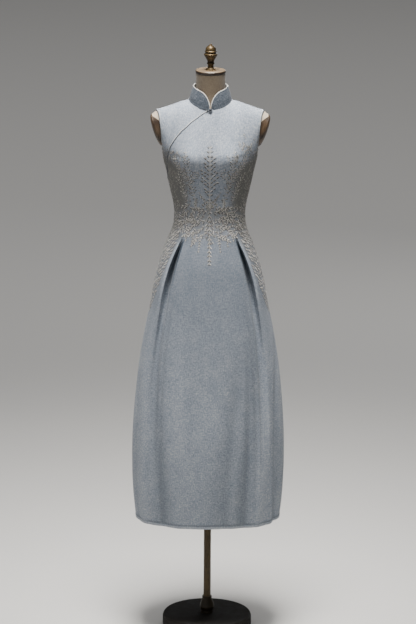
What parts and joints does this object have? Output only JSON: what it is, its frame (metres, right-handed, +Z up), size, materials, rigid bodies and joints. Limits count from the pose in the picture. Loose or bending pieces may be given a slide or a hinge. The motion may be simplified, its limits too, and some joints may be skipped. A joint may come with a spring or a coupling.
{
  "type": "cheongsam dress on dress form",
  "caption": "Sleeveless mid-calf cheongsam with a stand collar, diagonal opening and pleated skirt, on a limbless dress form with a finial, pole and round base.",
  "frame": {"origin": "on the floor under the middle of the base, which is under the middle of the dress", "axes": "+Z up; the dress faces -Y; +X is towards the wearer's left"},
  "size_m": [0.4805, 0.347, 1.8886],
  "materials": {
    "dress_linen": "matt heathered linen, dusty blue",
    "collar_linen": "matt linen, slate blue",
    "pale_piping": "cream white cord",
    "grey_cord": "dark grey cord",
    "frog_dark": "dark knotted cord",
    "form_linen": "natural linen cover over padding",
    "cap_wood": "stained wood, satin",
    "dark_wood": "dark stained wood, satin",
    "bronze": "antique bronze, worn highlights",
    "pole_bronze": "dark bronze lacquer",
    "base_iron": "dark lacquered casting"
  },
  "bodies": {
    "root": {"front_panel": "dress_linen", "under_panel": "dress_linen", "back_panel": "dress_linen", "stand_collar": "collar_linen", "collar_piping": "pale_piping", "opening_piping": "grey_cord", "armhole_binding_left": "collar_linen", "armhole_binding_right": "collar_linen", "frog_ball": "frog_dark", "frog_knot": "frog_dark", "frog_loop": "pale_piping", "form_torso": "form_linen", "neck_cap": "cap_wood", "finial": "bronze", "arm_plate_left": "dark_wood", "arm_plate_right": "dark_wood", "pole": "pole_bronze", "pole_socket": "pole_bronze", "stand_base": "base_iron"}
  },
  "joints": []
}
